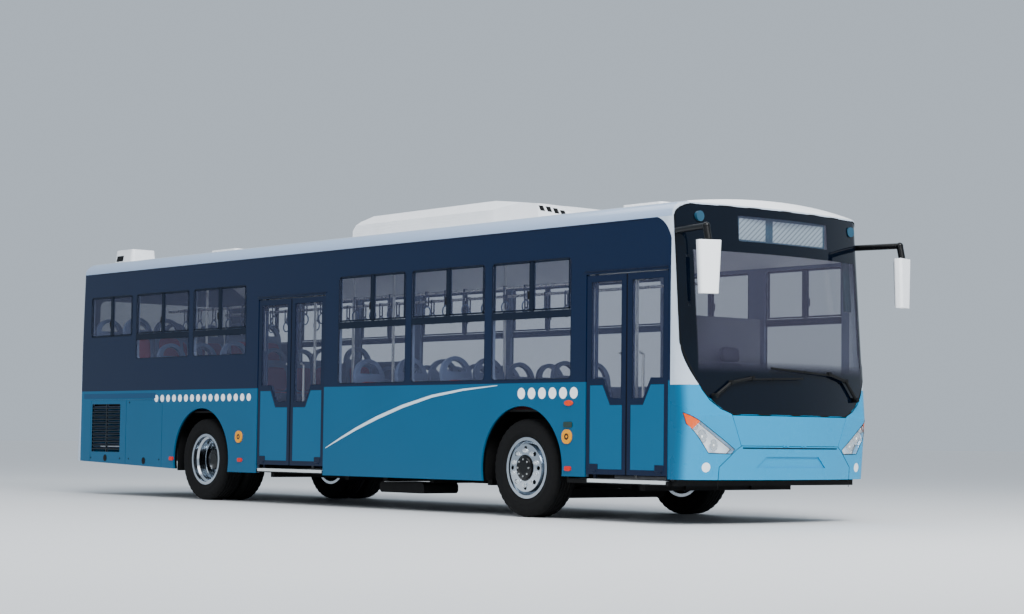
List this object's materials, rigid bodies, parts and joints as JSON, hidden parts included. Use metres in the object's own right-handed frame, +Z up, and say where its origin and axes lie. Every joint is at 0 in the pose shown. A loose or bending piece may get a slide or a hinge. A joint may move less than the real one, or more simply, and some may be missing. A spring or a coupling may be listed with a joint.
{
  "type": "city bus",
  "caption": "Single-deck low-entry city bus with inward-swinging doors, steered front wheels, twin rear wheels and lifting service flaps.",
  "frame": {"origin": "on the road under the middle of the whole bus, mirrors and roof unit included", "axes": "+X forward, +Y to the bus's left, +Z up"},
  "size_m": [11.5034, 2.88, 3.216],
  "materials": {
    "body_paint": "satin clear-coated blue below, dark navy round the windows",
    "roof_paint": "gloss white, silver roof edge",
    "front_paint": "gloss clear-coated light blue",
    "clear_glass": "tinted safety glass",
    "dark_trim": "matt black rubber and plastic",
    "door_frame": "satin dark navy",
    "sign_screen": "pale matt screen in a dark case",
    "lamp_clear": "clear lamp lens",
    "lamp_amber": "amber lens",
    "lamp_red": "red lens",
    "mirror_shell": "gloss white housing on a black arm",
    "wiper_black": "black wiper arm",
    "unit_white": "white moulded cover",
    "floor_sheet": "grey speckled floor covering",
    "seat_shell": "blue-grey moulded plastic",
    "driver_cloth": "dark cloth",
    "dash_plastic": "dark grained plastic",
    "rail_steel": "brushed tube",
    "partition_panel": "grey panel",
    "frame_steel": "black chassis paint",
    "engine_metal": "plain engine mass",
    "wheel_metal": "polished forged wheel",
    "tyre_rubber": "black tyre"
  },
  "bodies": {
    "root": {"chassis_frame": "frame_steel", "body_floor": "floor_sheet", "wheel_boxes": "floor_sheet", "side_wall_right": "body_paint", "side_wall_left": "body_paint", "roof_shell": "roof_paint", "rear_wall": "body_paint", "front_mask": "front_paint", "front_bumper": "front_paint", "rear_bumper": "body_paint", "windscreen": "clear_glass", "side_windows": "clear_glass", "window_bars": "dark_trim", "rear_window": "clear_glass", "destination_sign": "sign_screen", "headlamps": "lamp_clear", "marker_lamps": "lamp_amber", "tail_lamps": "lamp_red", "mirrors": "mirror_shell", "wipers": "wiper_black", "ac_unit": "unit_white", "roof_hatches": "unit_white", "passenger_seats": "seat_shell", "driver_seat": "driver_cloth", "dashboard": "dash_plastic", "grab_rails": "rail_steel", "driver_partition": "partition_panel", "engine": "engine_metal", "axles": "frame_steel", "door_gear": "dark_trim", "under_tanks": "frame_steel"},
    "knuckle_left": {"knuckle_left": "frame_steel"},
    "wheel_front_left": {"wheel_front_left": "wheel_metal", "tyre_front_left": "tyre_rubber"},
    "wheels_rear_left": {"wheels_rear_left": "wheel_metal", "tyres_rear_left": "tyre_rubber"},
    "knuckle_right": {"knuckle_right": "frame_steel"},
    "wheel_front_right": {"wheel_front_right": "wheel_metal", "tyre_front_right": "tyre_rubber"},
    "wheels_rear_right": {"wheels_rear_right": "wheel_metal", "tyres_rear_right": "tyre_rubber"},
    "door_front_fore": {"door_front_fore": "door_frame", "door_front_fore_pane": "clear_glass"},
    "door_front_aft": {"door_front_aft": "door_frame", "door_front_aft_pane": "clear_glass"},
    "door_rear_fore": {"door_rear_fore": "door_frame", "door_rear_fore_pane": "clear_glass"},
    "door_rear_aft": {"door_rear_aft": "door_frame", "door_rear_aft_pane": "clear_glass"},
    "engine_hatch": {"engine_hatch": "body_paint"},
    "front_flap": {"front_flap": "front_paint"},
    "side_flap_right_fore": {"side_flap_right_fore": "body_paint"},
    "side_flap_right_aft": {"side_flap_right_aft": "body_paint"},
    "side_flap_left_fore": {"side_flap_left_fore": "body_paint"},
    "side_flap_left_aft": {"side_flap_left_aft": "body_paint"}
  },
  "joints": [
    {"name": "steer_left", "type": "hinge", "parent": "root", "child": "knuckle_left", "pos_m": [3.071, 0.962, 0.478], "axis": [0, 0, 1], "range_deg": [-38, 38]},
    {"name": "spin_front_left", "type": "hinge", "parent": "knuckle_left", "child": "wheel_front_left", "pos_m": [3.071, 1.062, 0.478], "axis": [0, 1, 0], "continuous": true},
    {"name": "spin_rear_left", "type": "hinge", "parent": "root", "child": "wheels_rear_left", "pos_m": [-2.719, 1.062, 0.478], "axis": [0, 1, 0], "continuous": true},
    {"name": "steer_right", "type": "hinge", "parent": "root", "child": "knuckle_right", "pos_m": [3.071, -0.962, 0.478], "axis": [0, 0, 1], "range_deg": [-38, 38]},
    {"name": "spin_front_right", "type": "hinge", "parent": "knuckle_right", "child": "wheel_front_right", "pos_m": [3.071, -1.062, 0.478], "axis": [0, 1, 0], "continuous": true},
    {"name": "spin_rear_right", "type": "hinge", "parent": "root", "child": "wheels_rear_right", "pos_m": [-2.719, -1.062, 0.478], "axis": [0, 1, 0], "continuous": true},
    {"name": "door_front_fore_swing", "type": "hinge", "parent": "root", "child": "door_front_fore", "pos_m": [5.026, -1.176, 1.3], "axis": [0, 0, -1], "range_deg": [0, 90]},
    {"name": "door_front_aft_swing", "type": "hinge", "parent": "root", "child": "door_front_aft", "pos_m": [4.06, -1.176, 1.3], "axis": [0, 0, 1], "range_deg": [0, 90]},
    {"name": "door_rear_fore_swing", "type": "hinge", "parent": "root", "child": "door_rear_fore", "pos_m": [-0.305, -1.176, 1.3], "axis": [0, 0, -1], "range_deg": [0, 90]},
    {"name": "door_rear_aft_swing", "type": "hinge", "parent": "root", "child": "door_rear_aft", "pos_m": [-1.474, -1.176, 1.3], "axis": [0, 0, 1], "range_deg": [0, 90]},
    {"name": "engine_hatch_lift", "type": "hinge", "parent": "root", "child": "engine_hatch", "pos_m": [-5.713, 0, 1.477], "axis": [0, 1, 0], "range_deg": [0, 80]},
    {"name": "front_flap_drop", "type": "hinge", "parent": "root", "child": "front_flap", "pos_m": [5.498, 0, 0.713], "axis": [0, 1, 0], "range_deg": [0, 80]},
    {"name": "side_flap_right_fore_lift", "type": "hinge", "parent": "root", "child": "side_flap_right_fore", "pos_m": [-4.0215, -1.251, 1.19], "axis": [-1, 0, 0], "range_deg": [0, 80]},
    {"name": "side_flap_right_aft_lift", "type": "hinge", "parent": "root", "child": "side_flap_right_aft", "pos_m": [-4.889, -1.251, 1.19], "axis": [-1, 0, 0], "range_deg": [0, 80]},
    {"name": "side_flap_left_fore_lift", "type": "hinge", "parent": "root", "child": "side_flap_left_fore", "pos_m": [-4.0215, 1.251, 1.19], "axis": [1, 0, 0], "range_deg": [0, 80]},
    {"name": "side_flap_left_aft_lift", "type": "hinge", "parent": "root", "child": "side_flap_left_aft", "pos_m": [-4.889, 1.251, 1.19], "axis": [1, 0, 0], "range_deg": [0, 80]}
  ],
  "couplings": [
    {"joint": "steer_right", "follows": "steer_left", "ratio": 1},
    {"joint": "door_front_aft_swing", "follows": "door_front_fore_swing", "ratio": 1},
    {"joint": "door_rear_aft_swing", "follows": "door_rear_fore_swing", "ratio": 1}
  ]
}
